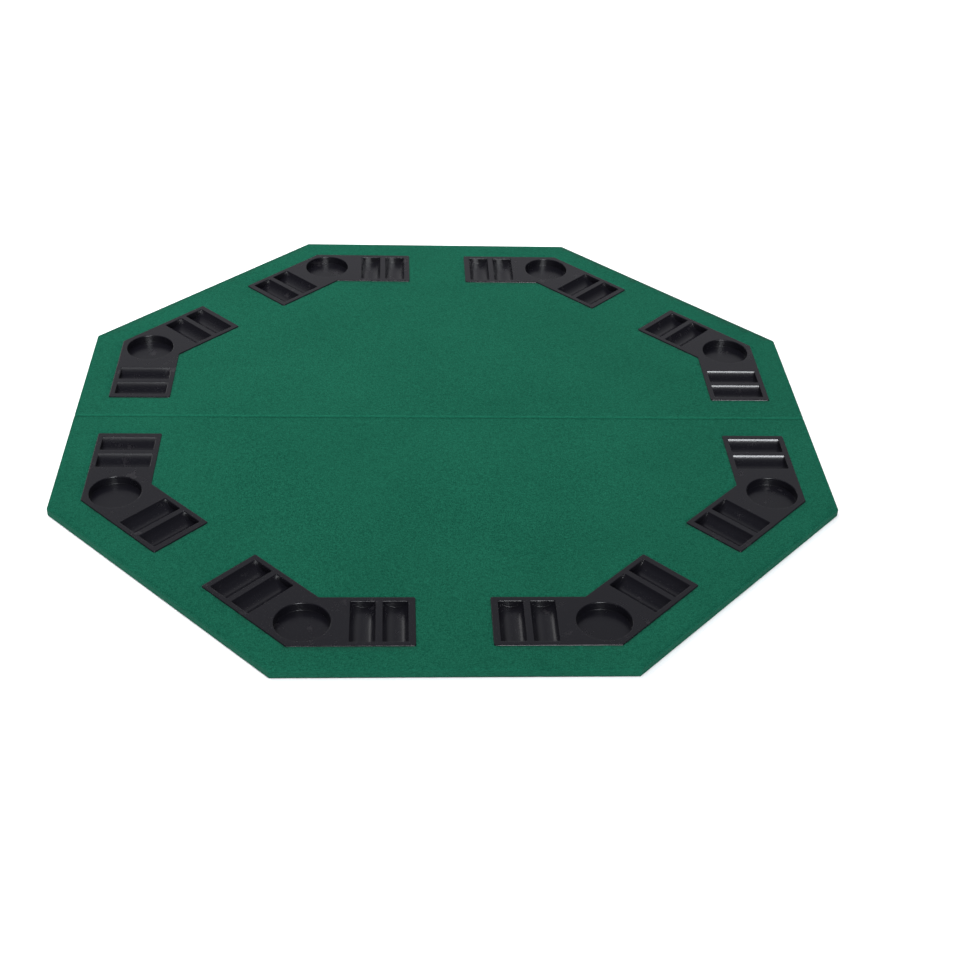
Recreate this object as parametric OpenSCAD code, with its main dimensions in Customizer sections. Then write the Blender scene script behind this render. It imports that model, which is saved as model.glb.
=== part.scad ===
// Folding octagonal card table top for eight players.
// It lies flat on a table, cloth side up, and folds in half cloth to cloth.
// +X runs along the fold, +Y to the rear half, +Z up. The underside rests on z = 0.

/* [Table top] */
// Width across the flats of the octagon
across_flats = 1220; // [1180:10:1300]
// Thickness of each fibreboard
board_t = 9; // [8.5:0.5:12]
// Thickness of the foam padding under the cloth
foam_t = 2; // [1.5:0.5:3]
// Thickness of the playing cloth
cloth_t = 0.8; // [0.6:0.1:1]
// Thickness of the non-slip backing where it covers the hem
backing_t = 1.4; // [1:0.2:2]
// Width of the cloth turned under each outer edge
hem_w = 30; // [20:1:36]

/* [Fold] */
// Gap between the two boards
fold_gap = 3; // [2.5:0.5:5]
// Depth of the crease in the cloth over the gap
crease_depth = 1.3; // [0.5:0.1:1.4]
// Width of hinge tape lying on each board
tape_w = 30; // [20:1:40]
// Thickness of the hinge tape
tape_t = 0.5; // [0.3:0.1:0.5]
// Depth of the slack loop that the tape makes in the gap
tape_loop = 3.4; // [3:0.2:6]
// Height of the fold axis over the tray rims
rim_clearance = 0.25; // [0.2:0.05:1]

/* [Trays] */
// Distance from the table's edge to the rim of a tray
tray_inset = 48; // [44:1:56]
// Width of a tray's wings, rim to rim
tray_w = 102; // [101:0.5:110]
// Gap between neighbouring trays along one side of the table
tray_gap = 107; // [100:1:120]
// Thickness of the rim that lies on the cloth
rim_t = 1.5; // [1:0.1:2]
// Width of the rim beyond the cut-out in the board
rim_lap = 6; // [5:0.5:7]
// Thickness of a tray's cup and trough walls
wall_t = 1.4; // [1:0.1:1.6]
// Height of the underside of a cup over the table
cup_base_z = 0.3; // [0.2:0.1:1]

/* [Cup] */
// Radius of the cup's bore
cup_r = 40; // [36:0.5:41]
// Distance from the octagon's corner to the middle of the cup
cup_from_corner = 105.5; // [104:0.5:108]

/* [Chip troughs] */
// Length of a trough
trough_l = 84.5; // [80:0.5:86]
// Radius of a trough's round bottom, a little over a chip's own
trough_r = 20; // [19:0.5:20.5]
// Depth of a trough under the rim
trough_depth = 12; // [10:0.5:12]
// Width of the land between two troughs
trough_land = 9.5; // [8:0.5:11]
// Width of the land between the outer trough and the end of the wing
end_land = 10; // [9:0.5:12]

/* [Snap lugs] */
// Length of a lug
lug_l = 14; // [8:1:20]
// Reach of a lug under the board
lug_hook = 1; // [0.5:0.1:1.4]

/* [Staples] */
// Distance between the staples in the hem
hem_pitch = 62; // [40:1:90]
// Distance between the staples in the hinge tape
tape_pitch = 115; // [80:1:150]
// Width of a staple's crown
staple_w = 10; // [6:1:12]
// Length of a staple's legs
staple_leg = 6; // [4:0.5:7]

/* [Hidden] */
$fn = 96;

// The octagon: half its width, half its side, and the distance to its corners
half_w = across_flats / 2;
corner_turn = 45;
half_turn = corner_turn / 2;
half_side = half_w * tan(half_turn);
corner_r = half_w / cos(half_turn);

// Heights of the layers, from the underside up
hem_z = backing_t;
board_z = hem_z + cloth_t;
foam_z = board_z + board_t;
cloth_z = foam_z + foam_t;
top_z = cloth_z + cloth_t;
rim_z = top_z + rim_t;

// The fold
half_gap = fold_gap / 2;
tape_end = 15;
past = 1;

// The backing stops short of the cloth's edge, and clear of the snap lugs
backing_edge = 1.2;
lug_room = 2;

// A tray's wings, in a frame at the octagon's corner: u along the table's side, v inward
wing_turn = 90 + half_turn;
wing_end = half_side - tray_gap / 2;
rib_gap = 0.5;
rib_t = 2;
rib_z = 0.9;
rib_inset = rim_lap + rib_gap;
cup_floor_z = cup_base_z + wall_t;
trough_axis_z = rim_z - trough_depth + trough_r;
trough_half_w = sqrt(trough_r * trough_r - pow(trough_r - trough_depth, 2));
trough_v = tray_inset + tray_w / 2;
outer_trough_u = wing_end - end_land - trough_half_w;
trough_u = [outer_trough_u, outer_trough_u - 2 * trough_half_w - trough_land];
lug_clear = 0.05;

// Staples
staple_wide = 1.2;
staple_thick = 0.6;
staple_margin = 20;
staple_hole = 0.05;
hem_staple_inset = 15;
tape_staple_y = half_gap + tape_w / 2;

function wing_point(u, v) = [u * cos(wing_turn) - v * sin(wing_turn),
                             u * sin(wing_turn) + v * cos(wing_turn)];
function mirrored(p) = [p[0], -p[1]];
function spread(low, high, pitch) = let (n = round((high - low) / pitch))
    [for (i = [0 : n]) low + (high - low) * i / n];

// Shapes used by several pieces

// Front half of an octagon cut back by inset, ending at y = -gap
module half_octagon(inset, gap) {
    w = half_w - inset;
    s = w * tan(half_turn);
    polygon([[-w, -gap], [-w, -s], [-s, -w], [s, -w], [w, -s], [w, -gap]]);
}

// Outline of a tray, cut back by inset, with the octagon's corner at the origin
module tray_outline(inset) {
    near = tray_inset + inset;
    far = tray_inset + tray_w - inset;
    end = wing_end - inset;
    polygon([wing_point(near * tan(half_turn), near), wing_point(end, near),
             wing_point(end, far), wing_point(far * tan(half_turn), far),
             mirrored(wing_point(end, far)), mirrored(wing_point(end, near))]);
}

module at_corner(angle) {
    rotate(angle) translate([corner_r, 0, 0]) children();
}

// The four tray cut-outs of the front half
module cut_outs(inset) {
    for (k = [0 : 3])
        at_corner(-half_turn - k * corner_turn) tray_outline(inset);
}

// A flat layer of the front half, from z up by t
module layer(z, t, inset, cut_inset) {
    translate([0, 0, z]) linear_extrude(t) difference() {
        half_octagon(inset, half_gap);
        cut_outs(cut_inset);
    }
}

// A ring along the outer edges of the front half, open at the fold
module edge_ring(z, t, outer, inner) {
    translate([0, 0, z]) linear_extrude(t) difference() {
        half_octagon(outer, half_gap);
        half_octagon(inner, -past);
    }
}

module rear() {
    mirror([0, 1, 0]) children();
}

// A staple's two legs, swollen by grow, rising from z = 0
module staple_legs(grow) {
    wide = staple_wide + 2 * grow;
    thick = staple_thick + 2 * grow;
    for (side = [-1, 1])
        translate([side * (staple_w - staple_thick) / 2 - thick / 2, -wide / 2, 0])
            cube([thick, wide, staple_leg]);
}

module staple() {
    translate([-staple_w / 2, -staple_wide / 2, 0]) cube([staple_w, staple_wide, staple_thick]);
    staple_legs(0);
}

// Places one copy for each staple of the front half's hinge tape, pointing down
module at_tape_staples() {
    for (x = spread(2 * tape_end - half_w, half_w - 2 * tape_end, tape_pitch))
        translate([x, -tape_staple_y, foam_z + tape_t + staple_thick]) mirror([0, 0, 1])
            children();
}

// The layers, drawn for the front half

module board() {
    color("burlywood") layer(board_z, board_t, cloth_t, rim_lap);
}

module foam() {
    color("ivory") difference() {
        layer(foam_z, foam_t, cloth_t, rim_lap);
        translate([tape_end - half_w, -half_gap - tape_w, foam_z - past])
            cube([across_flats - 2 * tape_end, tape_w + past, past + tape_t]);
    }
}

module cloth() {
    color([0.09, 0.36, 0.26]) {
        layer(cloth_z, cloth_t, 0, rim_lap);
        edge_ring(hem_z, cloth_z - hem_z, 0, cloth_t);
        edge_ring(hem_z, cloth_t, 0, hem_w);
    }
}

module backing() {
    color([0.08, 0.08, 0.09]) {
        layer(0, backing_t, backing_edge, rim_lap - lug_room);
        layer(backing_t, board_z - backing_t, hem_w, rim_lap - lug_room);
    }
}

// Staples through the hem from below, and through the hinge tape from above
module staples() {
    color("silver") {
        reach = half_side - staple_margin;
        for (edge = [1 : 3], t = spread(-reach, reach, hem_pitch))
            rotate(-edge * corner_turn) translate([half_w - hem_staple_inset, t, hem_z])
                rotate(90) staple();
        for (side = [-1, 1], t = spread(-reach, -staple_margin, hem_pitch))
            translate([side * (half_w - hem_staple_inset), t, hem_z]) rotate(90) staple();
        at_tape_staples() staple();
    }
}

// The strip of cloth that bridges the gap, creased down between the two halves
module cloth_crease() {
    color([0.09, 0.36, 0.26]) translate([-half_w, 0, 0]) rotate([90, 0, 90])
        linear_extrude(across_flats)
            polygon([[-half_gap, top_z], [-half_gap, cloth_z], [0, cloth_z - crease_depth],
                     [half_gap, cloth_z], [half_gap, top_z], [0, top_z - crease_depth]]);
}

// The woven tape that joins the boards, with its slack looped down into the gap
module hinge_tape() {
    tape_far = half_gap + tape_w;
    loop_in = half_gap - tape_t;
    tape_top = foam_z + tape_t;
    loop_z = foam_z - tape_loop;
    color([0.12, 0.12, 0.12]) difference() {
        translate([tape_end - half_w, 0, 0]) rotate([90, 0, 90])
            linear_extrude(across_flats - 2 * tape_end)
                polygon([[-tape_far, foam_z], [-half_gap, foam_z], [-half_gap, loop_z],
                         [half_gap, loop_z], [half_gap, foam_z], [tape_far, foam_z],
                         [tape_far, tape_top], [loop_in, tape_top], [loop_in, loop_z + tape_t],
                         [-loop_in, loop_z + tape_t], [-loop_in, tape_top],
                         [-tape_far, tape_top]]);
        at_tape_staples() staple_legs(staple_hole);
        rear() at_tape_staples() staple_legs(staple_hole);
    }
}

// The moulded tray: a cup on the corner and two chip troughs on each wing

module both_wings() {
    for (side = [0, 1])
        mirror([0, side, 0]) rotate(wing_turn) children();
}

module rim() {
    translate([0, 0, top_z]) linear_extrude(rim_t) tray_outline(0);
}

// The wall under the rim that drops into the board's cut-out
module locating_rib() {
    translate([0, 0, rib_z]) linear_extrude(top_z - rib_z) difference() {
        tray_outline(rib_inset);
        tray_outline(rib_inset + rib_t);
    }
}

// A cylinder along a trough, swollen by grow
module trough_shape(grow) {
    r = trough_r + grow;
    l = trough_l + 2 * grow;
    translate([0, trough_v + l / 2, trough_axis_z]) rotate([90, 0, 0]) cylinder(r = r, h = l);
}

module trough_shells() {
    shell_r = trough_r + wall_t;
    both_wings() for (u = trough_u) translate([u, 0, 0]) intersection() {
        trough_shape(wall_t);
        translate([-shell_r, trough_v - trough_l, 0])
            cube([2 * shell_r, 2 * trough_l, top_z + rim_t / 2]);
    }
}

module trough_hollows() {
    both_wings() for (u = trough_u) translate([u, 0, 0]) trough_shape(0);
}

// Wedges on the rib that catch under the board, two on each long wall of a wing
module snap_lugs() {
    lug_top = board_z - lug_clear;
    near = tray_inset + rib_inset;
    far = tray_inset + tray_w - rib_inset;
    reach = rib_gap + lug_hook;
    both_wings() for (u = trough_u, wall = [[near, -1], [far, 1]])
        translate([u - lug_l / 2, wall[0], 0]) rotate([90, 0, 90]) linear_extrude(lug_l)
            polygon([[-wall[1] * rib_t / 2, rib_z], [0, rib_z], [wall[1] * reach, lug_top],
                     [-wall[1] * rib_t / 2, lug_top]]);
}

module tray(angle) {
    color([0.13, 0.13, 0.15]) at_corner(angle) difference() {
        union() {
            rim();
            locating_rib();
            snap_lugs();
            trough_shells();
            translate([-cup_from_corner, 0, cup_base_z])
                cylinder(r = cup_r + wall_t, h = top_z - cup_base_z);
        }
        trough_hollows();
        translate([-cup_from_corner, 0, cup_floor_z])
            cylinder(r = cup_r, h = rim_z - cup_floor_z + past);
    }
}

board();  // front_board
rear() board();  // rear_board
foam();  // front_foam
rear() foam();  // rear_foam
cloth();  // front_cloth
rear() cloth();  // rear_cloth
cloth_crease();
hinge_tape();
backing();  // front_backing
rear() backing();  // rear_backing
staples();  // front_staples
rear() staples();  // rear_staples
tray(-157.5);  // left_front_tray
tray(-112.5);  // front_left_tray
tray(-67.5);  // front_right_tray
tray(-22.5);  // right_front_tray
tray(22.5);  // right_rear_tray
tray(67.5);  // rear_right_tray
tray(112.5);  // rear_left_tray
tray(157.5);  // left_rear_tray
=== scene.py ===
from math import ceil, cos, pi, radians, sin, sqrt, tan

import bmesh
import bpy
import numpy as np
from mathutils import Matrix, Vector, geometry, noise
from mathutils.kdtree import KDTree


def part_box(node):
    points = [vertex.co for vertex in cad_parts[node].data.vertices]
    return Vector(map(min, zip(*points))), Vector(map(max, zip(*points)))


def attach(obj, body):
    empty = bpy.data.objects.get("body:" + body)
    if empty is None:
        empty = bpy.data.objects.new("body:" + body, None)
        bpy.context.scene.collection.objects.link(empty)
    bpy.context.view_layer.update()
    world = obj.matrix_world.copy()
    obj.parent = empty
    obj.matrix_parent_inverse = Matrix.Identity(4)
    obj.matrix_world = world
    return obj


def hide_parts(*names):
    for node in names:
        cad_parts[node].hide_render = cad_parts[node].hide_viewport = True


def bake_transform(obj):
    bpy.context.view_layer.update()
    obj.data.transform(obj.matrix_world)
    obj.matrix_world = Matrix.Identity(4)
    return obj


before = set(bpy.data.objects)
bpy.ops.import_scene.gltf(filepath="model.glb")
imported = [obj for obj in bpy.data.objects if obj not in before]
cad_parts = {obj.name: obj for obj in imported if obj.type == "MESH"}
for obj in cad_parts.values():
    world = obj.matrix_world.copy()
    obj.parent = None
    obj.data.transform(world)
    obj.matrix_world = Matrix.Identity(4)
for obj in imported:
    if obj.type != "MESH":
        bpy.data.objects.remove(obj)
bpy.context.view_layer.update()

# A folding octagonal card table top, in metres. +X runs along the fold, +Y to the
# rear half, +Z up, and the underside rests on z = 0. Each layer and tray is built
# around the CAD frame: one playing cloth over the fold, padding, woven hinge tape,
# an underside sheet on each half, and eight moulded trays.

MM = 0.001
HALVES = ("front", "rear")

# ---------------------------------------------------------------- sizes

# Read from the frame
cloth_low, cloth_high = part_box("front_cloth")
board_low, board_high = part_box("front_board")
HALF_W = cloth_high.x
HALF_GAP = -board_high.y
CLOTH_TOP = cloth_high.z
HEM_BOTTOM = cloth_low.z
BOARD_BOTTOM = board_low.z
BOARD_TOP = board_high.z
FOAM_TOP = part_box("front_foam")[1].z
RIM_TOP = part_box("front_left_tray")[1].z
TRAY_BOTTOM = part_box("front_left_tray")[0].z
TAPE_LOOP = BOARD_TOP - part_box("hinge_tape")[0].z
TAPE_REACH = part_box("hinge_tape")[1].y
TAPE_HALF_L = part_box("hinge_tape")[1].x

# The octagon
HALF_TURN = radians(22.5)
HALF_SIDE = HALF_W * tan(HALF_TURN)
CORNER_R = HALF_W / cos(HALF_TURN)

# Meshes: points this close are joined, and corners are at least this round
WELD = 0.002 * MM
TIGHT_CORNER = 0.6 * MM
LEAST_ROUND = 0.4 * MM

# The playing cloth
CLOTH_T = CLOTH_TOP - FOAM_TOP
HEM_W = 30 * MM
EDGE_ROUND = 2.0 * MM
HEM_ROUND = 1.0 * MM
CORNER_ROUND = 5.0 * MM
CREASE_REACH = 3.4 * MM
CREASE_DEPTH = 2.4 * MM
FOLD_ROWS = [0, 0.5 * MM, 1.0 * MM, HALF_GAP, 2.1 * MM, 2.8 * MM, CREASE_REACH, 4.5 * MM]
CREASE_WANDER = 0.5 * MM
WANDER_REACH = 12 * MM
RIPPLE = 0.12 * MM
CALM_REACH = 25 * MM
PRESS = 0.4 * MM
PRESS_REACH = 3 * MM
CLOTH_SPACING = 13 * MM

# The padding, which comes down to the board beside the tape
TAPE_STEP = 5 * MM
TOP_CLEAR = 0.02 * MM
BOARD_CLEAR = 0.01 * MM
PADDING_SPACING = 26 * MM
PADDING_ROW_REACH = 585 * MM
PADDING_ROWS = [2.4 * MM, CREASE_REACH, 4.5 * MM, TAPE_REACH, TAPE_REACH + TAPE_STEP]

# The hinge tape and the underside
TAPE_T = 0.5 * MM
TAPE_WANDER = 0.3 * MM
STRAIGHT_REACH = 20 * MM
LOOP_HALF = HALF_GAP + 0.4 * MM
LOOP_EDGE = 0.3 * MM
BACKING_INSET = 1.2 * MM
BACKING_CUT = 4 * MM
BACKING_SPACING = 22 * MM
HEM_RIDGE = 0.4 * MM
RIDGE_W = 6 * MM
RIDGE_STOP = 3.5 * MM

# The trays: u runs along the table's side from its corner, v inward from that side
TRAY_INSET = 48 * MM
TRAY_W = 102 * MM
WING_END = HALF_SIDE - 107 * MM / 2
RIM_LAP = 6 * MM
RIM_CORNER = 3 * MM
RIM_ROUND = 1.18 * MM
RIM_UNDER = 0.3 * MM
WALL_T = 1.4 * MM
CUP_R = 40 * MM
CUP_FROM_CORNER = 105.5 * MM
CUP_FLOOR = TRAY_BOTTOM + WALL_T
CUP_FILLET = 0.4 * MM
CUP_UNDER_FILLET = 1.6 * MM
CUP_ROOT = 0.4 * MM
CUP_ROOT_LAND = 0.7 * MM
LIP = 1.15 * MM
SUPPORT = 0.4 * MM
TROUGH_L = 84.5 * MM
TROUGH_R = 20 * MM
TROUGH_DEPTH = 12 * MM
TROUGH_LAND = 9.5 * MM
END_LAND = 10 * MM
TROUGH_FILLET = 0.3 * MM
TROUGH_SOFT = 0.55 * MM
UNDER_SOFT = 0.5 * MM
TROUGH_AXIS_UP = TROUGH_R - TROUGH_DEPTH
TROUGH_HALF_W = sqrt(TROUGH_R ** 2 - TROUGH_AXIS_UP ** 2)
TROUGH_V = TRAY_INSET + TRAY_W / 2
OUTER_TROUGH_U = WING_END - END_LAND - TROUGH_HALF_W
TROUGH_US = [OUTER_TROUGH_U, OUTER_TROUGH_U - 2 * TROUGH_HALF_W - TROUGH_LAND]
RIB_INSET = 6.5 * MM
RIB_T = 1.0 * MM
RIB_BOTTOM = 0.9 * MM
RIB_SUNK = 0.7 * MM
LUG_L = 14 * MM
LUG_REACH = 1.5 * MM
LUG_CLEAR = 0.05 * MM
LUG_EDGE = 0.3 * MM
RIM_SPACING = 7 * MM
UNDER_SPACING = 9 * MM
TRAY_NAMES = ["left_front", "front_left", "front_right", "right_front",
              "right_rear", "rear_right", "rear_left", "left_rear"]
TRAY_TURNS = {name: radians(45 * k - 157.5) for k, name in enumerate(TRAY_NAMES)}

# The floor
FLOOR_SIZE = 60
FLOOR_DROP = 0.3 * MM


# ---------------------------------------------------------------- camera

def add_camera():
    """A camera in front of the table and a little to the left, tilted down 36 degrees."""
    tilt, turn, roll = radians(36.416), radians(-4.215), radians(2.638)
    back = Vector((sin(turn) * cos(tilt), -cos(turn) * cos(tilt), sin(tilt)))
    level = Vector((0, 0, 1)).cross(back).normalized()
    upward = back.cross(level)
    right = cos(roll) * level + sin(roll) * upward
    up = cos(roll) * upward - sin(roll) * level
    data = bpy.data.cameras.new("camera")
    data.lens = 57.1
    data.sensor_width = 36
    data.clip_end = 60
    camera = bpy.data.objects.new("camera", data)
    bpy.context.scene.collection.objects.link(camera)
    place = Matrix((right, up, back)).transposed().to_4x4()
    place.translation = (-0.0904, -2.1089, 1.4428)
    camera.matrix_world = place
    bpy.context.scene.camera = camera


# ---------------------------------------------------------------- plan shapes

def smooth_step(x):
    x = np.clip(x, 0, 1)
    return x * x * (3 - 2 * x)


def arc_steps(count):
    """Angles from 0 to a right angle."""
    return [pi / 2 * k / count for k in range(count + 1)]


def rounded(corners, radii, steps, splits):
    """A closed loop: an arc at each corner, and each straight run cut into its number of parts."""
    arcs = []
    for i, (corner, radius) in enumerate(zip(corners, radii)):
        before = (corners[i - 1] - corner).normalized()
        after = (corners[(i + 1) % len(corners)] - corner).normalized()
        half = before.angle(after) / 2
        centre = corner + (before + after).normalized() * radius / sin(half)
        spoke = corner + before * (radius / tan(half)) - centre
        sweep = spoke.angle_signed(corner + after * (radius / tan(half)) - centre)
        arcs.append([centre + Matrix.Rotation(-sweep * s / steps, 2) @ spoke
                     for s in range(steps + 1)])
    loop = []
    for i, arc in enumerate(arcs):
        start, end = arc[-1], arcs[(i + 1) % len(arcs)][0]
        loop += arc
        loop += [start.lerp(end, s / splits[i]) for s in range(1, splits[i])]
    return loop


def wing_point(u, v, side=1):
    """A point of a tray's wing, in the tray's own frame, whose origin is the table's corner."""
    turn = pi / 2 + HALF_TURN
    return Vector((u * cos(turn) - v * sin(turn), side * (u * sin(turn) + v * cos(turn))))


def tray_loop(inset):
    """A tray's outline cut back by inset."""
    near, far = TRAY_INSET + inset, TRAY_INSET + TRAY_W - inset
    end = WING_END - inset
    corners = [wing_point(near * tan(HALF_TURN), near), wing_point(end, near),
               wing_point(end, far), wing_point(far * tan(HALF_TURN), far),
               wing_point(end, far, -1), wing_point(end, near, -1)]
    tight, wide = max(RIM_CORNER - inset, TIGHT_CORNER), RIM_CORNER + inset
    return rounded(corners, [tight, tight, tight, wide, tight, tight], 6,
                   [22, 13, 16, 16, 13, 22])


def placed(loop, turn):
    """A tray's loop in the row frame."""
    spin = Matrix.Rotation(turn, 2)
    return [spin @ (p + Vector((CORNER_R, 0))) for p in loop]


def front_outlines(inset):
    """The front half's trays' outlines cut back by inset, in the row frame."""
    return [placed(tray_loop(inset), turn) for turn in TRAY_TURNS.values() if turn < 0]


def octagon_quarter(inset):
    """A quarter of the octagon cut back by inset, from the fold's right end to the rear."""
    w = HALF_W - inset
    radius = max(CORNER_ROUND - inset, LEAST_ROUND)
    back_off = radius * tan(HALF_TURN)
    side = w * tan(HALF_TURN)
    path = [Vector((w, y)) for y in FOLD_ROWS]
    runs = [(path[-1], Vector((w, side - back_off)), 20)]
    diagonal = Vector((-1, 1)).normalized()
    corners = [Vector((w, side)), Vector((side, w))]
    runs.append((corners[0] + diagonal * back_off, corners[1] - diagonal * back_off, 38))
    runs.append((Vector((side - back_off, w)), Vector((0, w)), 19))
    for k, (start, end, parts) in enumerate(runs):
        path += [start.lerp(end, s / parts) for s in range(0 if k else 1, parts + 1)]
        if k < 2:
            turn = HALF_TURN + k * pi / 4
            out = Vector((cos(turn), sin(turn)))
            centre = corners[k] - out * radius / cos(HALF_TURN)
            path += [centre + Matrix.Rotation(HALF_TURN * s / 3, 2) @ out * radius
                     for s in range(-2, 3)]
    return path


def octagon_loop(inset):
    """The whole octagon cut back by inset, anticlockwise."""
    quarter = octagon_quarter(inset)
    rear_left = [Vector((-p.x, p.y)) for p in reversed(quarter)]
    rear = quarter + rear_left[1:]
    return rear + [Vector((p.x, -p.y)) for p in reversed(rear)][1:-1]


def half_loop(inset):
    """The front half of the octagon cut back by inset, closed along the fold's gap."""
    w = HALF_W - inset
    s = w * tan(HALF_TURN)
    corners = [Vector(p) for p in ((-w, -HALF_GAP), (-w, -s), (-s, -w),
                                   (s, -w), (w, -s), (w, -HALF_GAP))]
    return rounded(corners, [TIGHT_CORNER] * 6, 3, [15, 30, 30, 30, 15, 72])


def inside(points, loop):
    """Which points are inside a closed loop, by counting the sides past each one."""
    a = np.array(loop)
    b = np.roll(a, -1, 0)
    x, y = points[:, :1], points[:, 1:]
    spans = (a[:, 1] > y) != (b[:, 1] > y)
    rise = np.where(a[:, 1] == b[:, 1], 1, b[:, 1] - a[:, 1])
    crossing = a[:, 0] + (y - a[:, 1]) * (b[:, 0] - a[:, 0]) / rise
    return ((x < crossing) & spans).sum(1) % 2 == 1


def distance_to(points, loop):
    """How far each point is from a closed loop."""
    a = np.array(loop)
    run = np.roll(a, -1, 0) - a
    rest = points[:, None] - a
    share = np.clip((rest * run).sum(2) / (run ** 2).sum(1), 0, 1)
    return np.linalg.norm(rest - share[..., None] * run, axis=2).min(1)


# ---------------------------------------------------------------- mesh building

def add_grid(bm, rows, closed=False):
    """Quads between each row of points and the next."""
    made = [[bm.verts.new(p) for p in row] for row in rows]
    for low, high in zip(made, made[1:]):
        for i in range(len(low) - (not closed)):
            j = (i + 1) % len(low)
            bm.faces.new((low[i], low[j], high[j], high[i]))


def fill(bm, outer, holes, spacing, height, rows=()):
    """An even triangle mesh inside outer and outside the holes, whose edges follow the rows.
    height gives z for an array of points."""
    points, edges = [], []
    for line, closed in [(outer, True)] + [(h, True) for h in holes] + [(r, False) for r in rows]:
        first, count = len(points), len(line)
        points += line
        edges += [(first + i, first + (i + 1) % count) for i in range(count - (not closed))]
    fixed = KDTree(len(points))
    for i, p in enumerate(points):
        fixed.insert((p[0], p[1], 0), i)
    fixed.balance()
    low, high = np.array(outer).min(0), np.array(outer).max(0)
    row_gap = spacing * sqrt(3) / 2
    spots = np.array([(low[0] + (i + 0.5 * (j % 2)) * spacing, low[1] + j * row_gap)
                      for j in range(1, ceil((high[1] - low[1]) / row_gap))
                      for i in range(ceil((high[0] - low[0]) / spacing) + 1)])
    free = inside(spots, outer)
    for hole in holes:
        free &= ~inside(spots, hole)
    points += [Vector(p) for p in spots[free] if fixed.find((*p, 0))[2] > 0.6 * spacing]
    xy, _, triangles, *_ = geometry.delaunay_2d_cdt(points, edges, [], 0, 1e-7)
    xy = np.array(xy)
    triangles = np.array(triangles)
    middles = xy[triangles].mean(1)
    kept = inside(middles, outer)
    for hole in holes:
        kept &= ~inside(middles, hole)
    z = height(xy)
    made = {}
    for triangle in triangles[kept]:
        for i in triangle:
            if i not in made:
                made[i] = bm.verts.new((*xy[i], z[i]))
        bm.faces.new([made[i] for i in triangle])


def level(z):
    """A height function for a flat fill."""
    return lambda xy: np.full(len(xy), z)


def raised(loop, z):
    """A plan loop as points at one height."""
    return [(p[0], p[1], z) for p in loop]


def close_up(bm):
    """Joins points closer than WELD and drops the faces that close up."""
    bmesh.ops.remove_doubles(bm, verts=bm.verts, dist=WELD)
    bmesh.ops.dissolve_degenerate(bm, edges=bm.edges, dist=WELD)


def finished(bm, name, sharp_over=40):
    """Welds a mesh, turns its faces outward, smooths it and links it as an object."""
    close_up(bm)
    bmesh.ops.recalc_face_normals(bm, faces=bm.faces)
    mesh = bpy.data.meshes.new(name)
    bm.to_mesh(mesh)
    bm.free()
    mesh.shade_smooth()
    mesh.set_sharp_from_angle(angle=radians(sharp_over))
    made = bpy.data.objects.new(name, mesh)
    bpy.context.scene.collection.objects.link(made)
    return made


def apply_modifiers(obj):
    """Replaces an object's mesh by the one that its modifiers make."""
    graph = bpy.context.evaluated_depsgraph_get()
    mesh = bpy.data.meshes.new_from_object(obj.evaluated_get(graph))
    obj.modifiers.clear()
    obj.data = mesh


def thicken(obj, thickness, offset):
    """Gives an open sheet its thickness. An offset of -1 adds it behind the faces, 0 on both sides."""
    solid = obj.modifiers.new("thickness", "SOLIDIFY")
    solid.thickness = thickness
    solid.offset = offset
    solid.use_even_offset = True
    apply_modifiers(obj)


def slab(name, outer, holes, spacing, top, bottom, rows=(), mirrored=False):
    """A closed sheet between two height functions, mirrored for the rear half if asked."""
    bm = bmesh.new()
    for height in (top, bottom):
        fill(bm, outer, holes, spacing, height, rows)
    for loop in (outer, *holes):
        xy = np.array(loop)
        walls = [[(*p, z) for p, z in zip(loop, height(xy))] for height in (top, bottom)]
        add_grid(bm, walls, closed=True)
    if mirrored:
        bmesh.ops.scale(bm, vec=(1, -1, 1), verts=bm.verts)
    return finished(bm, name)


# ---------------------------------------------------------------- materials

def node(tree, kind, inputs=(), **settings):
    """Adds a shader node. inputs pairs a socket's name or number with a value or another socket."""
    made = tree.nodes.new("ShaderNode" + kind)
    for key, value in settings.items():
        setattr(made, key, value)
    for key, value in dict(inputs).items():
        socket = made.inputs[key]
        if isinstance(value, bpy.types.NodeSocket):
            tree.links.new(value, socket)
        else:
            socket.default_value = value
    return made.outputs[0]


def maths(tree, operation, *values):
    return node(tree, "Math", enumerate(values), operation=operation)


def blend_colours(tree, share, a, b):
    """A mix of two colours by a share from 0 to 1."""
    mix = node(tree, "Mix", {0: share, 6: a, 7: b}, data_type="RGBA")
    return mix.node.outputs[2]


def ramp(tree, value, low, high):
    """A value stretched so that low comes out as 0 and high as 1."""
    return node(tree, "MapRange", {0: value, 1: low, 2: high})


def position(tree, scale=(1, 1, 1)):
    """The object's own coordinates, stretched."""
    coordinates = node(tree, "TexCoord").node.outputs["Object"]
    return node(tree, "Mapping", {0: coordinates, "Scale": scale})


def speckle(tree, scale, stretch=(1, 1, 1), detail=2.0, roughness=0.5):
    """Noise with a number of bumps a metre, stretched along an axis."""
    return node(tree, "TexNoise", {"Vector": position(tree, stretch), "Scale": scale,
                                   "Detail": detail, "Roughness": roughness})


def weave(tree, pitch, turn=0.0):
    """Height of a plain weave with threads that far apart: 0 in the gaps, 1 on the threads."""
    coordinates = node(tree, "TexCoord").node.outputs["Object"]
    turned = node(tree, "Mapping", {0: coordinates, "Rotation": (0, 0, turn)})
    split = node(tree, "SeparateXYZ", {0: turned}).node
    waves = [maths(tree, "SINE", maths(tree, "MULTIPLY", split.outputs[k], 2 * pi / pitch))
             for k in (0, 1)]
    crossed = maths(tree, "MULTIPLY", waves[0], waves[1])
    return maths(tree, "MULTIPLY_ADD", crossed, 0.5, 0.5)


def total(tree, *weighted):
    """A sum of values, each times its weight."""
    result = 0.0
    for value, weight in weighted:
        result = maths(tree, "MULTIPLY_ADD", value, weight, result)
    return result


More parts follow.
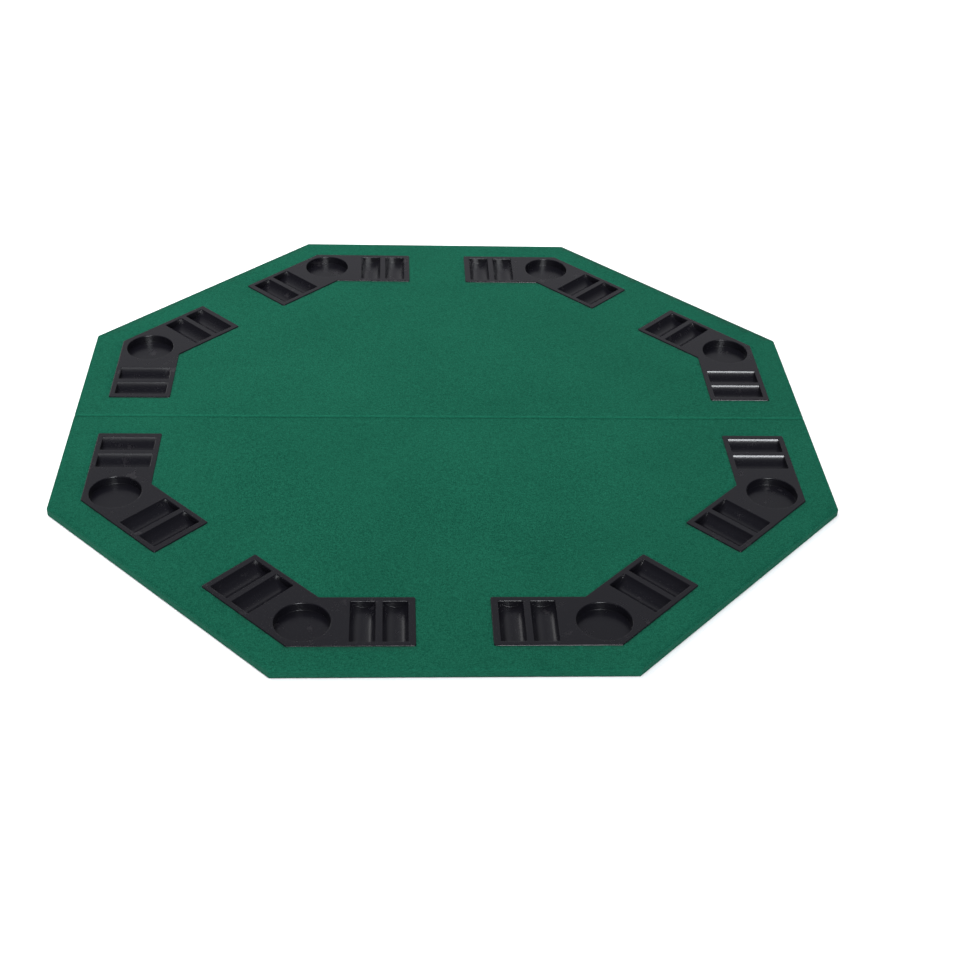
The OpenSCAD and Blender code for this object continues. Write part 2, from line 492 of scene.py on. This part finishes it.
def new_material(name, colour, roughness, **constants):
    """A material whose Principled shader has these constants. Names of sockets take _ for a space."""
    material = bpy.data.materials.new(name)
    material.use_nodes = True
    tree = material.node_tree
    shader = tree.nodes["Principled BSDF"]
    shader.inputs["Base Color"].default_value = (*colour, 1)
    shader.inputs["Roughness"].default_value = roughness
    for key, value in constants.items():
        shader.inputs[key.replace("_", " ")].default_value = value
    return material, tree, shader


def set_colour(tree, shader, dark, light, share):
    """Colours the shader between two colours."""
    mixed = blend_colours(tree, share, (*dark, 1), (*light, 1))
    tree.links.new(mixed, shader.inputs["Base Color"])


def set_bump(tree, shader, height, distance, strength=1.0):
    bump = node(tree, "Bump", {"Height": height, "Distance": distance, "Strength": strength})
    tree.links.new(bump, shader.inputs["Normal"])


def set_roughness(tree, shader, value, low, high):
    """Roughness between low and high as a value goes from 0 to 1."""
    tree.links.new(node(tree, "MapRange", {0: value, 3: low, 4: high}),
                   shader.inputs["Roughness"])


def cloth_material():
    """Green napped playing cloth: a plain weave, slubs along both threads, and a faint fuzz. A
    band just beyond the fold is a painted highlight, and a band just before it is painted shade."""
    material, tree, shader = new_material(
        "playing_cloth", (0.0058, 0.068, 0.0395), 0.92, Specular_IOR_Level=0.05,
        Sheen_Weight=0.045, Sheen_Roughness=0.45, Sheen_Tint=(0.45, 0.85, 0.65, 1))
    threads = weave(tree, 1.3 * MM)
    along_x = speckle(tree, 760, (0.32, 1, 1), 1.0)
    along_y = speckle(tree, 1050, (1, 0.3, 1), 1.0)
    fuzz = speckle(tree, 1400, (1, 0.7, 1), 1.0)
    patches = speckle(tree, 5, detail=3.0)
    grain = total(tree, (along_x, 0.36), (along_y, 0.44), (fuzz, 0.46), (threads, 0.14),
                  (patches, 0.12))
    across = node(tree, "SeparateXYZ", {0: position(tree)}).node.outputs[1]
    # Painted light along the fold: a lighter band centred 2 mm beyond it is a painted highlight where
    # the cloth slopes towards the light, and a darker band centred 3 mm before it is painted shade
    # where the cloth slopes away
    wear_and_painted_highlight, painted_shade_band = (ramp(tree, maths(tree, "ABSOLUTE", maths(tree, "ADD", across, -middle)),
                       2.6 * MM, 0.6 * MM) for middle in (2.0 * MM, -3.0 * MM))
    share = total(tree, (ramp(tree, grain, 0.58, 0.94), 1.0), (wear_and_painted_highlight, 0.32), (painted_shade_band, -0.55))
    set_colour(tree, shader, (0.0012, 0.0350, 0.0205), (0.0096, 0.100, 0.0592), share)
    height = total(tree, (threads, 0.5), (along_x, 0.5), (along_y, 0.5), (fuzz, 0.35))
    set_bump(tree, shader, height, 0.35 * MM, 0.8)
    return material


def plastic_material():
    """Near-black moulded plastic: a satin skin with a fine texture, and worn patches,
    mostly towards the table's corners."""
    material, tree, shader = new_material(
        "tray_plastic", (0.0046, 0.0044, 0.0062), 0.3, Specular_IOR_Level=0.9)
    skin = speckle(tree, 2600, detail=1.0)
    cloudy = speckle(tree, 34, detail=4.0, roughness=0.6)
    scuffs = speckle(tree, 160, (1, 0.25, 1), 3.0, 0.7)
    plan = position(tree, (1, 1, 0))
    out = node(tree, "VectorMath", {0: plan}, operation="LENGTH").node.outputs["Value"]
    cloudy = total(tree, (cloudy, 1.0), (ramp(tree, out, 0.57, 0.63), 0.1))
    wear_and_painted_highlight = maths(tree, "MULTIPLY", ramp(tree, cloudy, 0.62, 0.72), ramp(tree, scuffs, 0.42, 0.64))
    set_colour(tree, shader, (0.0042, 0.0040, 0.0058), (0.024, 0.022, 0.025), wear_and_painted_highlight)
    set_roughness(tree, shader, total(tree, (wear_and_painted_highlight, 0.6), (cloudy, 0.4)), 0.22, 0.42)
    set_bump(tree, shader, total(tree, (skin, 1.0), (scuffs, 0.3)), 0.012 * MM, 0.6)
    return material


def fibreboard_material():
    """Fibreboard: pressed brown fibres, with darker flecks."""
    material, tree, shader = new_material(
        "fibreboard", (0.38, 0.26, 0.15), 0.85, Specular_IOR_Level=0.25)
    fibres = speckle(tree, 500, (0.35, 1, 2.5), 4.0, 0.65)
    flecks = speckle(tree, 1400, (0.5, 1, 1), 1.0)
    tone = speckle(tree, 9, detail=2.0)
    grain = total(tree, (fibres, 0.5), (flecks, 0.3), (tone, 0.25))
    set_colour(tree, shader, (0.20, 0.125, 0.066), (0.50, 0.36, 0.22), ramp(tree, grain, 0.35, 0.7))
    set_bump(tree, shader, fibres, 0.25 * MM, 0.7)
    return material


def foam_material():
    """Off-white padding with open cells."""
    material, tree, shader = new_material(
        "padding_foam", (0.72, 0.68, 0.55), 0.95, Specular_IOR_Level=0.1)
    cells = node(tree, "TexVoronoi", {"Vector": position(tree), "Scale": 1500.0})
    tone = speckle(tree, 25, detail=3.0)
    set_colour(tree, shader, (0.52, 0.47, 0.34), (0.80, 0.76, 0.63),
               total(tree, (cells, 0.5), (tone, 0.6)))
    set_bump(tree, shader, cells, 0.3 * MM)
    return material


def backing_material():
    """Black non-slip underside: matted fibres with small grip dots."""
    material, tree, shader = new_material(
        "backing", (0.018, 0.018, 0.020), 0.88, Specular_IOR_Level=0.2,
        Sheen_Weight=0.15, Sheen_Roughness=0.5)
    dots = node(tree, "TexVoronoi", {"Vector": position(tree), "Scale": 260.0, "Randomness": 0.12})
    bumps = ramp(tree, dots, 0.42, 0.22)
    felted = speckle(tree, 900, detail=4.0, roughness=0.7)
    tone = speckle(tree, 7, detail=3.0)
    set_colour(tree, shader, (0.010, 0.010, 0.011), (0.034, 0.034, 0.037),
               total(tree, (felted, 0.5), (bumps, 0.35), (tone, 0.25)))
    set_bump(tree, shader, total(tree, (bumps, 1.0), (felted, 0.6)), 0.3 * MM, 0.8)
    return material


def tape_material():
    """Black woven hinge tape: ribs across it, and a darker thread here and there."""
    material, tree, shader = new_material(
        "hinge_tape", (0.028, 0.028, 0.030), 0.8, Specular_IOR_Level=0.3)
    threads = weave(tree, 1.0 * MM, radians(45))
    slubs = speckle(tree, 500, (1, 0.15, 1), 1.0)
    set_colour(tree, shader, (0.013, 0.013, 0.014), (0.052, 0.052, 0.056),
               total(tree, (threads, 0.6), (slubs, 0.4)))
    set_bump(tree, shader, threads, 0.2 * MM)
    return material


def steel_material():
    """Galvanised staple wire with fine drawing marks."""
    material, tree, shader = new_material(
        "staple_wire", (0.62, 0.62, 0.60), 0.35, Metallic=1.0)
    marks = speckle(tree, 3000, (0.08, 1, 1), 2.0)
    spots = speckle(tree, 300, detail=3.0)
    set_colour(tree, shader, (0.42, 0.42, 0.41), (0.70, 0.70, 0.69), spots)
    set_roughness(tree, shader, marks, 0.26, 0.5)
    set_bump(tree, shader, marks, 0.02 * MM)
    return material


# ---------------------------------------------------------------- playing cloth

def crease_dip(y):
    """How far the cloth dips into the fold's gap."""
    y = np.abs(y)
    return np.where(y < CREASE_REACH, CREASE_DEPTH * (1 + np.cos(pi * y / CREASE_REACH)) / 2, 0)


def rim_press(xy):
    """How far the rims press the cloth down at each point, and how far away they are."""
    away = np.full(len(xy), HALF_W)
    for turn in TRAY_TURNS.values():
        outline = placed(tray_loop(0), turn)
        away = np.minimum(away, np.where(inside(xy, outline), 0, distance_to(xy, outline)))
    return PRESS * (1 - smooth_step(away / PRESS_REACH)), away


def cloth_height(xy):
    """Height of the cloth's face: creased at the fold, pressed at the rims, faintly rippled."""
    press, away = rim_press(xy)
    waves = np.array([noise.noise((7 * x, 7 * y, 0.3)) for x, y in xy])
    edge = HALF_W - np.abs(xy).max(1)
    calm = smooth_step(away / CALM_REACH) * smooth_step(edge / CALM_REACH)
    return CLOTH_TOP - crease_dip(xy[:, 1]) - press + RIPPLE * waves * calm


def edge_rows():
    """The rows of points down the cloth's edge: over its roll, down the skirt and in along the hem."""
    profile = [(EDGE_ROUND * (1 - sin(a)), CLOTH_TOP - EDGE_ROUND * (1 - cos(a)))
               for a in arc_steps(5)]
    roll = len(profile)
    skirt_top, skirt_end = CLOTH_TOP - EDGE_ROUND, HEM_BOTTOM + HEM_ROUND
    profile += [(0, skirt_top + (skirt_end - skirt_top) * k / 4) for k in (1, 2, 3)]
    profile += [(HEM_ROUND * (1 - cos(a)), HEM_BOTTOM + HEM_ROUND * (1 - sin(a)))
                for a in arc_steps(3)]
    profile += [(HEM_ROUND + (HEM_W - HEM_ROUND) * k / 3, HEM_BOTTOM) for k in (1, 2, 3)]
    rows = []
    for k, (inset, z) in enumerate(profile):
        loop = octagon_loop(inset)
        dips = crease_dip(np.array(loop)[:, 1])
        rows.append([Vector((*p, z - dip * (k < roll))) for p, dip in zip(loop, dips)])
    return rows, roll


def add_edge(bm):
    """The cloth's rolled edge, skirt and hem, slit where they cross the fold."""
    rows, roll = edge_rows()
    add_grid(bm, rows[:roll], closed=True)
    lower = rows[roll - 1:]
    count = len(lower[0])

    def at_slit(i):
        return all(abs(lower[0][k].y) < HALF_GAP + 1e-6 for k in (i, (i + 1) % count))

    starts = [i for i in range(count) if not at_slit(i) and at_slit((i - 1) % count)]
    for start in starts:
        run = [start]
        while not at_slit(run[-1] % count):
            run.append(run[-1] + 1)
        add_grid(bm, [[row[i % count] for i in run] for row in lower])


def make_cloth(material):
    """One cloth over both halves: creased at the fold, cut out for the trays, wrapped round the
    edges and turned under."""
    bm = bmesh.new()
    outer = octagon_loop(EDGE_ROUND)
    holes = [placed(tray_loop(RIM_LAP), turn) for turn in TRAY_TURNS.values()]
    reach = HALF_W - EDGE_ROUND
    columns = np.linspace(-reach, reach, 122)
    rows = [[Vector((x, side * y)) for x in columns]
            for y in FOLD_ROWS for side in ((1, -1) if y else (1,))]
    fill(bm, outer, holes, CLOTH_SPACING, cloth_height, rows)
    add_edge(bm)
    cloth = finished(bm, "playing_cloth", sharp_over=70)
    if sum(p.normal.z * p.area for p in cloth.data.polygons) < 0:
        cloth.data.flip_normals()
    for v in cloth.data.vertices:
        near = 1 - abs(v.co.y) / WANDER_REACH
        if near > 0:
            v.co.y += CREASE_WANDER * near * noise.noise((22 * v.co.x, 0.7, 0.2))
    thicken(cloth, CLOTH_T, -1)
    cloth.data.materials.append(material)
    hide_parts("front_cloth", "rear_cloth", "cloth_crease")
    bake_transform(cloth)
    return cloth


def polygon_area(loop):
    a = np.array(loop)
    b = np.roll(a, -1, 0)
    return abs((a[:, 0] * b[:, 1] - b[:, 0] * a[:, 1]).sum()) / 2


# ---------------------------------------------------------------- layers of each half

def padding_top(xy):
    return FOAM_TOP - TOP_CLEAR - crease_dip(xy[:, 1]) - rim_press(xy)[0]


def padding_bottom(xy):
    """Flat on the board, and lifted over the hinge tape."""
    over_tape = 1 - smooth_step((np.abs(xy[:, 1]) - TAPE_REACH) / TAPE_STEP)
    return BOARD_TOP + BOARD_CLEAR + TAPE_T * over_tape


def make_padding(half, material):
    """The foam under the cloth, cut to the board and let over the hinge tape."""
    holes = front_outlines(RIM_LAP)
    columns = np.linspace(-PADDING_ROW_REACH, PADDING_ROW_REACH, 60)
    rows = [[Vector((x, -y)) for x in columns] for y in PADDING_ROWS]
    piece = slab(f"{half}_padding", half_loop(CLOTH_T), holes, PADDING_SPACING, padding_top,
                 padding_bottom, rows, mirrored=half == "rear")
    piece.data.materials.append(material)
    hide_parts(f"{half}_foam")
    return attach(piece, f"{half}_half")


def backing_rise(xy):
    """How far the underside sheet steps up past the hem that it covers, from 0 to 1."""
    w = np.abs(xy)
    inset = HALF_W - np.maximum(w.max(1), w.sum(1) / sqrt(2))
    return smooth_step((inset - HEM_W) / RIDGE_W)


def make_underside(half, material):
    """The non-slip sheet under a half, with the hem showing through as a low ridge."""
    holes = front_outlines(BACKING_CUT)
    rows = []
    for share in (0, 0.35, 0.65, 1):
        ring = octagon_loop(HEM_W + share * RIDGE_W)
        rows.append([p for p in ring if p.y < -RIDGE_STOP])
    piece = slab(f"{half}_underside_sheet", half_loop(BACKING_INSET), holes, BACKING_SPACING,
                 lambda xy: HEM_BOTTOM + (BOARD_BOTTOM - HEM_BOTTOM) * backing_rise(xy),
                 lambda xy: HEM_RIDGE * backing_rise(xy), rows, mirrored=half == "rear")
    piece.data.materials.append(material)
    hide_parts(f"{half}_backing")
    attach(piece, f"{half}_half")


def make_tape(material):
    """The woven tape that joins the boards, with its slack looped down into the gap."""
    on_board = np.linspace(TAPE_REACH, LOOP_HALF + LOOP_EDGE, 12)
    in_gap = np.linspace(LOOP_HALF, 0, 9)
    across = np.concatenate([-on_board, -in_gap, in_gap[::-1][1:], on_board[::-1]])
    sag = np.where(np.abs(across) < LOOP_HALF,
                   (TAPE_LOOP - TAPE_T) * (1 + np.cos(pi * across / LOOP_HALF)) / 2, 0)
    columns = np.linspace(-TAPE_HALF_L, TAPE_HALF_L, 150)
    rows = []
    for y, drop in zip(across, sag):
        wander = TAPE_WANDER * (abs(y) > STRAIGHT_REACH)
        rows.append([(x, y + wander * noise.noise((14 * x, 0.1, 0.9)),
                      BOARD_TOP + TAPE_T / 2 - drop * (1 + 0.1 * noise.noise((30 * x, 0.5, 0))))
                     for x in columns])
    bm = bmesh.new()
    add_grid(bm, rows)
    tape = finished(bm, "tape_hinge", sharp_over=80)
    thicken(tape, TAPE_T, 0)
    tape.data.materials.append(material)
    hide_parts("hinge_tape")
    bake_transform(tape)


# ---------------------------------------------------------------- moulded trays

def smooth_positive(x, softness):
    """The value where it is positive, else 0, with a soft turn between."""
    h = np.clip(softness - np.abs(x), 0, None) / softness
    return np.maximum(x, 0) + h * h * softness / 4


def trough_face(radius, half_l, fillet, end_profile, base, softness, columns):
    """Points of one face of a trough as rows of (along, across, depth under the rim's face).
    end_profile lists (distance past the end wall, depth) from the wall's foot to its lip.
    base is the depth of the flat face around the trough."""
    rows = [(s, 0.0, 1.0) for s in np.linspace(0, half_l - fillet - SUPPORT, 6)]
    rows += [(half_l - fillet * (1 - sin(a)), fillet * (1 - cos(a)), 1.0)
             for a in arc_steps(4)]
    wall = [(0, 1.0)] + end_profile
    rows += [(half_l + out, fillet + SUPPORT, depth) for out, depth in wall]
    rows = [(-s, shrink, limit) for s, shrink, limit in reversed(rows[1:])] + rows
    face = []
    for s, shrink, limit in rows:
        r = radius - shrink
        arc = np.sqrt(np.clip(r * r - columns ** 2, 0, None)) - TROUGH_AXIS_UP - base
        depth = base + np.minimum(smooth_positive(arc, softness), limit - base)
        face.append([(s, t, d) for t, d in zip(columns, depth)])
    return face


def both_ways(half):
    """Columns across a trough from those on one side, which run from its edge to its middle."""
    half = np.array(half)
    return np.concatenate([-half, half[::-1][1:]])


def inner_trough():
    """The face that chips lie on."""
    degrees = (64.5, 62, 58, 53, 47.5, 42, 36, 30, 24, 18, 12, 6, 0)
    half = [TROUGH_HALF_W + x * MM for x in (0.7, 0.3, 0.12, 0)]
    half += [TROUGH_R * sin(radians(a)) for a in degrees]
    wall = [(0, d * MM) for d in (9.5, 7, 4.5, 2.8)] + [(0, LIP + SUPPORT)]
    lip = [(LIP * (1 - cos(a)), LIP * (1 - sin(a))) for a in arc_steps(4)]
    profile = wall + lip + [(LIP + SUPPORT, 0)]
    return trough_face(TROUGH_R, TROUGH_L / 2, TROUGH_FILLET, profile, 0, TROUGH_SOFT,
                       both_ways(half))


def outer_trough():
    """The underside of a trough."""
    radius = TROUGH_R + WALL_T
    base = RIM_TOP - CLOTH_TOP
    edge = sqrt(radius ** 2 - (TROUGH_AXIS_UP + base) ** 2)
    half = [edge + 0.7 * MM, edge + 0.3 * MM, edge]
    half += [radius * sin(radians(a)) for a in (57, 50, 43, 36, 29, 22, 15, 7.5, 0)]
    profile = [(0, d * MM) for d in (9, 6.5, 4, 2.5)] + [(0, base), (0.25 * MM, base)]
    return trough_face(radius, TROUGH_L / 2 + WALL_T, TROUGH_FILLET + WALL_T, profile, base,
                       UNDER_SOFT, both_ways(half))


def add_troughs(bm, face):
    """Adds one face of the four troughs, and returns their outlines in the rim's plane."""
    outlines = []
    for side in (1, -1):
        for u in TROUGH_US:
            rows = [[Vector((*wing_point(u + t, TROUGH_V + s, side), RIM_TOP - d))
                     for s, t, d in row] for row in face]
            add_grid(bm, rows)
            ring = rows[0] + [r[-1] for r in rows[1:]] + rows[-1][-2::-1]
            ring += [r[0] for r in rows[-2:0:-1]]
            plan = [p.to_2d() for p in ring]
            outlines.append([p for i, p in enumerate(plan) if (p - plan[i - 1]).length > 1e-6])
    return outlines


def cup_ring(radius, count=80):
    """A circle around the cup's middle, in the tray's own frame."""
    return [Vector((radius * cos(2 * pi * k / count) - CUP_FROM_CORNER,
                    radius * sin(2 * pi * k / count))) for k in range(count)]


def add_cup(bm, profile):
    """A surface of revolution about the cup's axis, closed by a point in the middle."""
    add_grid(bm, [raised(cup_ring(r), z) for r, z in profile], closed=True)
    last, z = profile[-1]
    ring = [bm.verts.new(p) for p in raised(cup_ring(last), z)]
    middle = bm.verts.new((-CUP_FROM_CORNER, 0, z))
    for i, v in enumerate(ring):
        bm.faces.new((v, ring[(i + 1) % len(ring)], middle))


def cup_face(edge_r, edge, wall_r, fillet, floor_z):
    """A cup's profile from its edge to near its middle: edge points, wall, fillet and floor."""
    wall_top = edge[-1][1]
    foot = floor_z + fillet
    profile = [(edge_r, edge[0][1])] + edge
    wall = (wall_top - SUPPORT, (wall_top + foot) / 2, foot + SUPPORT, foot)
    profile += [(wall_r, z) for z in wall]
    profile += [(wall_r - fillet * (1 - cos(a)), floor_z + fillet * (1 - sin(a)))
                for a in arc_steps(5)[1:]]
    profile.append((profile[-1][0] - SUPPORT, floor_z))
    return profile + [(wall_r * share, floor_z) for share in (0.9, 0.65, 0.4, 0.15)]


def tray_shell():
    """The tray's skin inside and out, closed round the rim's edge."""
    bm = bmesh.new()
    lip = [(CUP_R + LIP * (1 - sin(a)), RIM_TOP - LIP * (1 - cos(a))) for a in arc_steps(5)]
    cup_edge = CUP_R + LIP + SUPPORT
    add_cup(bm, cup_face(cup_edge, lip, CUP_R, CUP_FILLET, CUP_FLOOR))
    holes = add_troughs(bm, inner_trough()) + [cup_ring(cup_edge)]
    top_inset = RIM_ROUND + SUPPORT
    fill(bm, tray_loop(top_inset), holes, RIM_SPACING, level(RIM_TOP))

    outer_r = CUP_R + WALL_T
    root = [(outer_r + CUP_ROOT, CLOTH_TOP), (outer_r, CLOTH_TOP - CUP_ROOT)]
    under_edge = outer_r + CUP_ROOT_LAND
    add_cup(bm, cup_face(under_edge, root, outer_r, CUP_UNDER_FILLET, TRAY_BOTTOM))
    holes = add_troughs(bm, outer_trough()) + [cup_ring(under_edge)]
    under_inset = RIM_UNDER + SUPPORT
    fill(bm, tray_loop(under_inset), holes, UNDER_SPACING, level(CLOTH_TOP))

    profile = [(under_inset, CLOTH_TOP)]
    profile += [(RIM_UNDER * (1 - sin(a)), CLOTH_TOP + RIM_UNDER * (1 - cos(a)))
                for a in arc_steps(3)]
    profile += [(RIM_ROUND * (1 - cos(a)), RIM_TOP - RIM_ROUND * (1 - sin(a)))
                for a in arc_steps(5)]
    profile += [(top_inset, RIM_TOP)]
    add_grid(bm, [raised(tray_loop(inset), z) for inset, z in profile], closed=True)
    return finished(bm, "tray_shell")


def rib_and_lugs():
    """The wall that drops into the board's cut-out, and the lugs that catch under the board."""
    bm = bmesh.new()
    rib_top = CLOTH_TOP + RIB_SUNK
    outer, inner = tray_loop(RIB_INSET), tray_loop(RIB_INSET + RIB_T)
    rows = [raised(loop, z) for loop, z in
            ((outer, RIB_BOTTOM), (outer, rib_top), (inner, rib_top), (inner, RIB_BOTTOM),
             (outer, RIB_BOTTOM))]
    add_grid(bm, rows, closed=True)
    walls = [(TRAY_INSET + RIB_INSET, -1), (TRAY_INSET + TRAY_W - RIB_INSET, 1)]
    lug_bottom, lug_top = RIB_BOTTOM + LUG_CLEAR, BOARD_BOTTOM - LUG_CLEAR
    for side in (1, -1):
        for u in TROUGH_US:
            for v, out in walls:
                section = [(-out * RIB_T / 2, lug_bottom), (0, lug_bottom),
                           (out * LUG_REACH, lug_top - LUG_EDGE), (out * LUG_REACH, lug_top),
                           (-out * RIB_T / 2, lug_top)]
                ends = [[Vector((*wing_point(u + end, v + dv, side), z)) for dv, z in section]
                        for end in (-LUG_L / 2, LUG_L / 2)]
                add_grid(bm, ends, closed=True)
                for end in ends:
                    bm.faces.new([bm.verts.new(p) for p in end])
    return finished(bm, "rib_and_lugs")


def make_trays(material):
    """Eight trays from one moulding, each turned to its corner of the table."""
    moulding, ribs = tray_shell(), rib_and_lugs()
    union = moulding.modifiers.new("ribs", "BOOLEAN")
    union.operation = "UNION"
    union.solver = "EXACT"
    union.use_self = True
    union.object = ribs
    apply_modifiers(moulding)
    bpy.data.objects.remove(ribs)
    bm = bmesh.new()
    bm.from_mesh(moulding.data)
    close_up(bm)
    bm.to_mesh(moulding.data)
    bm.free()
    moulding.data.set_sharp_from_angle(angle=radians(40))
    moulding.data.materials.clear()
    moulding.data.materials.append(material)
    for name, turn in TRAY_TURNS.items():
        mesh = moulding.data.copy()
        mesh.transform(Matrix.Rotation(turn, 4, "Z") @ Matrix.Translation((CORNER_R, 0, 0)))
        tray = bpy.data.objects.new(f"{name}_cup_and_chip_tray", mesh)
        bpy.context.scene.collection.objects.link(tray)
        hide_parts(f"{name}_tray")
        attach(tray, "front_half" if turn < 0 else "rear_half")
    bpy.data.objects.remove(moulding)


# ---------------------------------------------------------------- stage

def add_floor():
    """A pale floor just under the table, far wider than the view."""
    bpy.ops.mesh.primitive_plane_add(size=FLOOR_SIZE, location=(0, 0, -FLOOR_DROP))
    floor = bpy.context.object
    floor.name = "floor"
    material, tree, shader = new_material("floor", (0.93, 0.93, 0.93), 0.9,
                                          Specular_IOR_Level=0.0)
    set_colour(tree, shader, (0.925, 0.925, 0.925), (0.935, 0.935, 0.935), speckle(tree, 3))
    floor.data.materials.append(material)


def add_sun(name, strength, spread, azimuth, elevation, colour=(1, 1, 1), shines=True):
    """Even light from a wide disc. Azimuth 0 comes from the front, 90 from the right. Glossy
    surfaces mirror it only if it shines."""
    data = bpy.data.lights.new(name, "SUN")
    data.energy = strength
    data.angle = radians(spread)
    data.color = colour
    sun = bpy.data.objects.new(name, data)
    bpy.context.scene.collection.objects.link(sun)
    sun.rotation_euler = (radians(90 - elevation), 0, radians(azimuth))
    sun.visible_glossy = shines


def add_softbox(name, power, width, height, place, shines=True):
    """A rectangular light that faces the table and that the camera doesn't see."""
    data = bpy.data.lights.new(name, "AREA")
    data.shape = "RECTANGLE"
    data.energy = power
    data.size = width
    data.size_y = height
    box = bpy.data.objects.new(name, data)
    bpy.context.scene.collection.objects.link(box)
    box.location = place
    box.rotation_euler = (-Vector(place)).to_track_quat("-Z", "Y").to_euler()
    box.visible_camera = False
    box.visible_glossy = shines


def add_world():
    """A pale backdrop, which lights the table like a dim studio that is dark above and at the
    sides."""
    world = bpy.data.worlds.new("studio")
    world.use_nodes = True
    tree = world.node_tree
    way = node(tree, "TexCoord").node.outputs["Generated"]
    parts = node(tree, "SeparateXYZ", {0: way}).node.outputs
    colour = blend_colours(tree, ramp(tree, parts[2], 0.1, 0.9), (0.50, 0.50, 0.52, 1),
                           (0.05, 0.05, 0.06, 1))
    aside = maths(tree, "ABSOLUTE", parts[0])
    colour = blend_colours(tree, ramp(tree, aside, 0.4, 0.72), colour, (0.03, 0.03, 0.035, 1))
    seen = node(tree, "LightPath").node.outputs["Is Camera Ray"]
    colour = blend_colours(tree, seen, colour, (0.94, 0.94, 0.95, 1))
    tree.links.new(colour, tree.nodes["Background"].inputs["Color"])
    tree.nodes["Background"].inputs["Strength"].default_value = 1.0
    bpy.context.scene.world = world


# ---------------------------------------------------------------- the scene

add_camera()

cloth = make_cloth(cloth_material())
foam = foam_material()
padding = [make_padding(half, foam) for half in HALVES]
cut_outs = 8 * polygon_area(tray_loop(RIM_LAP))
black_backing = backing_material()
for half in HALVES:
    make_underside(half, black_backing)
make_tape(tape_material())
make_trays(plastic_material())

for name, finish in (("board", fibreboard_material()), ("staples", steel_material())):
    for half in HALVES:
        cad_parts[f"{half}_{name}"].data.materials.clear()
        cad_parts[f"{half}_{name}"].data.materials.append(finish)

add_floor()
add_world()
add_sun("key", 1.6, 22, 12, 17, (0.94, 0.97, 1.0))
add_sun("overhead", 2.4, 60, 10, 64, (0.94, 0.97, 1.0), shines=False)
add_sun("fill", 0.8, 90, -70, 55, shines=False)
add_softbox("top", 54, 2.2, 1.2, (-0.75, 0.9, 2.2), shines=False)
add_softbox("rear_left", 3.4, 1.1, 0.9, (-2.2, 2.66, 0.97))
bpy.context.scene.view_settings.view_transform = "Standard"
